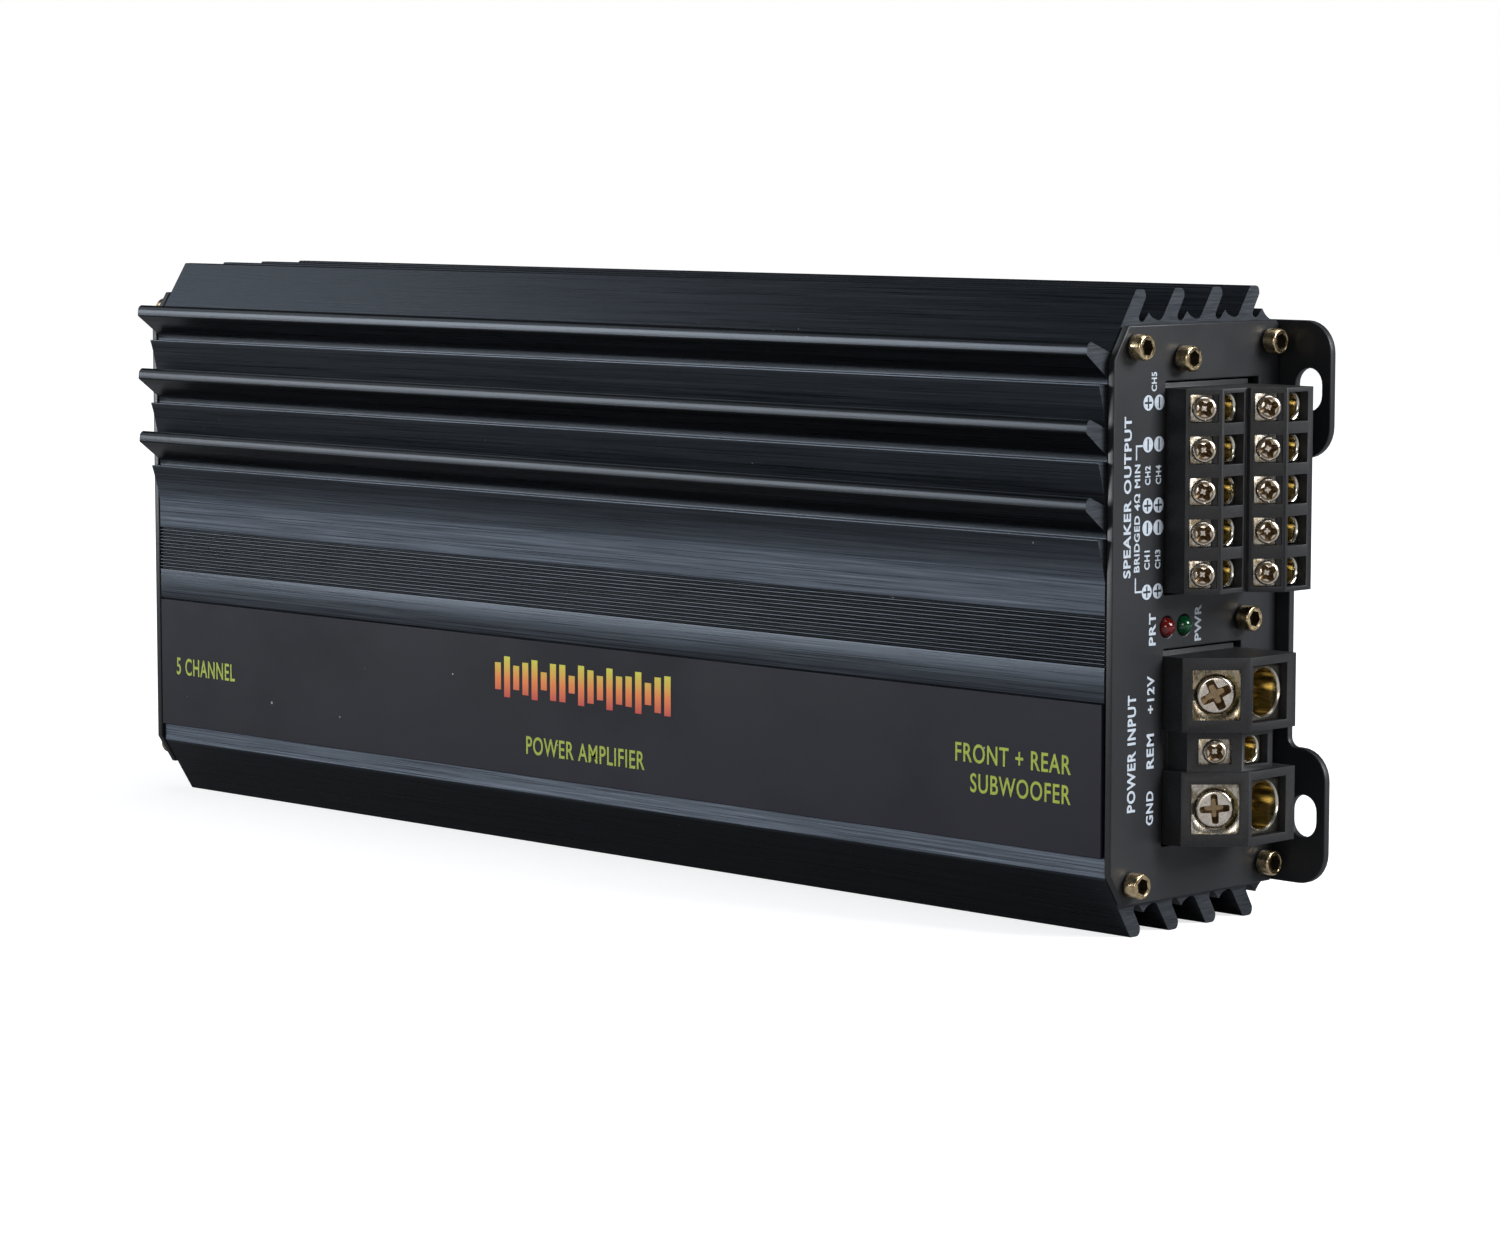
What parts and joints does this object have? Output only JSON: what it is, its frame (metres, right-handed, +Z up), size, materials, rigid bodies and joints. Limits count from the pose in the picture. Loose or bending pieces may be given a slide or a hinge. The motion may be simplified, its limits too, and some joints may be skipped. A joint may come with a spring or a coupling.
{
  "type": "car audio amplifier",
  "caption": "Black finned car amplifier with end screw terminals for speakers and power, status lights, signal sockets and a mounting plate with slotted ears.",
  "frame": {"origin": "middle of the bounding box in X and Y, at the lower fin tips", "axes": "+X towards the terminal end along the extrusion, +Y towards the mounting plate, +Z up; the label faces -Y"},
  "size_m": [0.4066, 0.072, 0.1568],
  "materials": {
    "anodised_aluminium": "black anodised, brushed along the length",
    "printed_label": "matte charcoal film with printed lettering",
    "black_steel": "satin black coating",
    "terminal_plastic": "moulded, fine grain",
    "nickel_plated_brass": "nickel plated",
    "yellow_zinc_steel": "yellow zinc plated",
    "red_lens": "tinted clear",
    "green_lens": "tinted clear",
    "board_laminate": "green solder mask",
    "copper_winding": "enamelled wire",
    "capacitor_sleeve": "shrink sleeve",
    "ferrite": "matte grey",
    "control_plastic": "moulded, satin"
  },
  "bodies": {
    "case": {"heatsink_body": "anodised_aluminium", "label_plate": "printed_label", "mounting_plate": "black_steel", "speaker_terminal_housing": "terminal_plastic", "power_terminal_housing": "terminal_plastic", "terminal_end_plate": "black_steel", "control_end_plate": "black_steel", "end_plate_bracket": "anodised_aluminium", "protect_light": "red_lens", "power_light": "green_lens", "circuit_board": "board_laminate", "power_transformer": "copper_winding", "reservoir_capacitor_1": "capacitor_sleeve", "reservoir_capacitor_2": "capacitor_sleeve", "output_inductor": "ferrite", "transistor_clamp_bar": "anodised_aluminium", "rca_socket_block": "terminal_plastic", "bass_remote_socket": "terminal_plastic", "speaker_clamp_block_01": "nickel_plated_brass", "speaker_clamp_block_02": "nickel_plated_brass", "speaker_clamp_block_03": "nickel_plated_brass", "speaker_clamp_block_04": "nickel_plated_brass", "speaker_clamp_block_05": "nickel_plated_brass", "speaker_clamp_block_06": "nickel_plated_brass", "speaker_clamp_block_07": "nickel_plated_brass", "speaker_clamp_block_08": "nickel_plated_brass", "speaker_clamp_block_09": "nickel_plated_brass", "speaker_clamp_block_10": "nickel_plated_brass", "supply_clamp_block": "nickel_plated_brass", "remote_clamp_block": "nickel_plated_brass", "ground_clamp_block": "nickel_plated_brass", "terminal_end_screw_1": "yellow_zinc_steel", "terminal_end_screw_2": "yellow_zinc_steel", "terminal_end_screw_3": "yellow_zinc_steel", "terminal_end_screw_4": "yellow_zinc_steel", "terminal_end_screw_5": "yellow_zinc_steel", "terminal_end_screw_6": "yellow_zinc_steel", "control_end_screw_1": "yellow_zinc_steel", "control_end_screw_2": "yellow_zinc_steel", "control_end_screw_3": "yellow_zinc_steel", "control_end_screw_4": "yellow_zinc_steel"},
    "speaker_clamp_screw_01": {"speaker_clamp_screw_01": "nickel_plated_brass"},
    "speaker_clamp_screw_02": {"speaker_clamp_screw_02": "nickel_plated_brass"},
    "speaker_clamp_screw_03": {"speaker_clamp_screw_03": "nickel_plated_brass"},
    "speaker_clamp_screw_04": {"speaker_clamp_screw_04": "nickel_plated_brass"},
    "speaker_clamp_screw_05": {"speaker_clamp_screw_05": "nickel_plated_brass"},
    "speaker_clamp_screw_06": {"speaker_clamp_screw_06": "nickel_plated_brass"},
    "speaker_clamp_screw_07": {"speaker_clamp_screw_07": "nickel_plated_brass"},
    "speaker_clamp_screw_08": {"speaker_clamp_screw_08": "nickel_plated_brass"},
    "speaker_clamp_screw_09": {"speaker_clamp_screw_09": "nickel_plated_brass"},
    "speaker_clamp_screw_10": {"speaker_clamp_screw_10": "nickel_plated_brass"},
    "supply_clamp_screw": {"supply_clamp_screw": "nickel_plated_brass"},
    "remote_clamp_screw": {"remote_clamp_screw": "nickel_plated_brass"},
    "ground_clamp_screw": {"ground_clamp_screw": "nickel_plated_brass"},
    "gain_adjuster_front": {"gain_adjuster_front": "control_plastic"},
    "gain_adjuster_rear": {"gain_adjuster_rear": "control_plastic"},
    "gain_adjuster_sub": {"gain_adjuster_sub": "control_plastic"},
    "crossover_adjuster": {"crossover_adjuster": "control_plastic"},
    "filter_switch_front": {"filter_switch_front": "control_plastic"},
    "filter_switch_rear": {"filter_switch_rear": "control_plastic"}
  },
  "joints": [
    {"name": "speaker_clamp_screw_01_turn", "type": "hinge", "parent": "case", "child": "speaker_clamp_screw_01", "pos_m": [0.19202, -0.00557, 0.1283], "axis": [0.7071, -0.7071, 0], "range_deg": [0, 3300]},
    {"name": "speaker_clamp_screw_02_turn", "type": "hinge", "parent": "case", "child": "speaker_clamp_screw_02", "pos_m": [0.19942, 0.00983, 0.1283], "axis": [0.7071, -0.7071, 0], "range_deg": [0, 3300]},
    {"name": "speaker_clamp_screw_03_turn", "type": "hinge", "parent": "case", "child": "speaker_clamp_screw_03", "pos_m": [0.19202, -0.00557, 0.1183], "axis": [0.7071, -0.7071, 0], "range_deg": [0, 3300]},
    {"name": "speaker_clamp_screw_04_turn", "type": "hinge", "parent": "case", "child": "speaker_clamp_screw_04", "pos_m": [0.19942, 0.00983, 0.1183], "axis": [0.7071, -0.7071, 0], "range_deg": [0, 3300]},
    {"name": "speaker_clamp_screw_05_turn", "type": "hinge", "parent": "case", "child": "speaker_clamp_screw_05", "pos_m": [0.19202, -0.00557, 0.1083], "axis": [0.7071, -0.7071, 0], "range_deg": [0, 3300]},
    {"name": "speaker_clamp_screw_06_turn", "type": "hinge", "parent": "case", "child": "speaker_clamp_screw_06", "pos_m": [0.19942, 0.00983, 0.1083], "axis": [0.7071, -0.7071, 0], "range_deg": [0, 3300]},
    {"name": "speaker_clamp_screw_07_turn", "type": "hinge", "parent": "case", "child": "speaker_clamp_screw_07", "pos_m": [0.19202, -0.00557, 0.0983], "axis": [0.7071, -0.7071, 0], "range_deg": [0, 3300]},
    {"name": "speaker_clamp_screw_08_turn", "type": "hinge", "parent": "case", "child": "speaker_clamp_screw_08", "pos_m": [0.19942, 0.00983, 0.0983], "axis": [0.7071, -0.7071, 0], "range_deg": [0, 3300]},
    {"name": "speaker_clamp_screw_09_turn", "type": "hinge", "parent": "case", "child": "speaker_clamp_screw_09", "pos_m": [0.19202, -0.00557, 0.0883], "axis": [0.7071, -0.7071, 0], "range_deg": [0, 3300]},
    {"name": "speaker_clamp_screw_10_turn", "type": "hinge", "parent": "case", "child": "speaker_clamp_screw_10", "pos_m": [0.19942, 0.00983, 0.0883], "axis": [0.7071, -0.7071, 0], "range_deg": [0, 3300]},
    {"name": "supply_clamp_screw_turn", "type": "hinge", "parent": "case", "child": "supply_clamp_screw", "pos_m": [0.19456, -0.00301, 0.0591], "axis": [0.7071, -0.7071, 0], "range_deg": [-2820, 0]},
    {"name": "remote_clamp_screw_turn", "type": "hinge", "parent": "case", "child": "remote_clamp_screw", "pos_m": [0.19346, -0.00201, 0.0452], "axis": [0.7071, -0.7071, 0], "range_deg": [0, 3300]},
    {"name": "ground_clamp_screw_turn", "type": "hinge", "parent": "case", "child": "ground_clamp_screw", "pos_m": [0.19456, -0.00301, 0.0313], "axis": [0.7071, -0.7071, 0], "range_deg": [-2820, 0]},
    {"name": "gain_adjuster_front_turn", "type": "hinge", "parent": "case", "child": "gain_adjuster_front", "pos_m": [-0.1879, 0.01285, 0.067], "axis": [-1, 0, 0], "range_deg": [-140, 140]},
    {"name": "gain_adjuster_rear_turn", "type": "hinge", "parent": "case", "child": "gain_adjuster_rear", "pos_m": [-0.1879, 0.01285, 0.054], "axis": [-1, 0, 0], "range_deg": [-140, 140]},
    {"name": "gain_adjuster_sub_turn", "type": "hinge", "parent": "case", "child": "gain_adjuster_sub", "pos_m": [-0.1879, 0.01285, 0.041], "axis": [-1, 0, 0], "range_deg": [-140, 140]},
    {"name": "crossover_adjuster_turn", "type": "hinge", "parent": "case", "child": "crossover_adjuster", "pos_m": [-0.1879, 0.01285, 0.028], "axis": [-1, 0, 0], "range_deg": [-140, 140]},
    {"name": "filter_switch_front_slide", "type": "slide", "parent": "case", "child": "filter_switch_front", "axis": [0, 0, 1], "range_m": [-0.002, 0.002]},
    {"name": "filter_switch_rear_slide", "type": "slide", "parent": "case", "child": "filter_switch_rear", "axis": [0, 0, 1], "range_m": [-0.002, 0.002]}
  ]
}
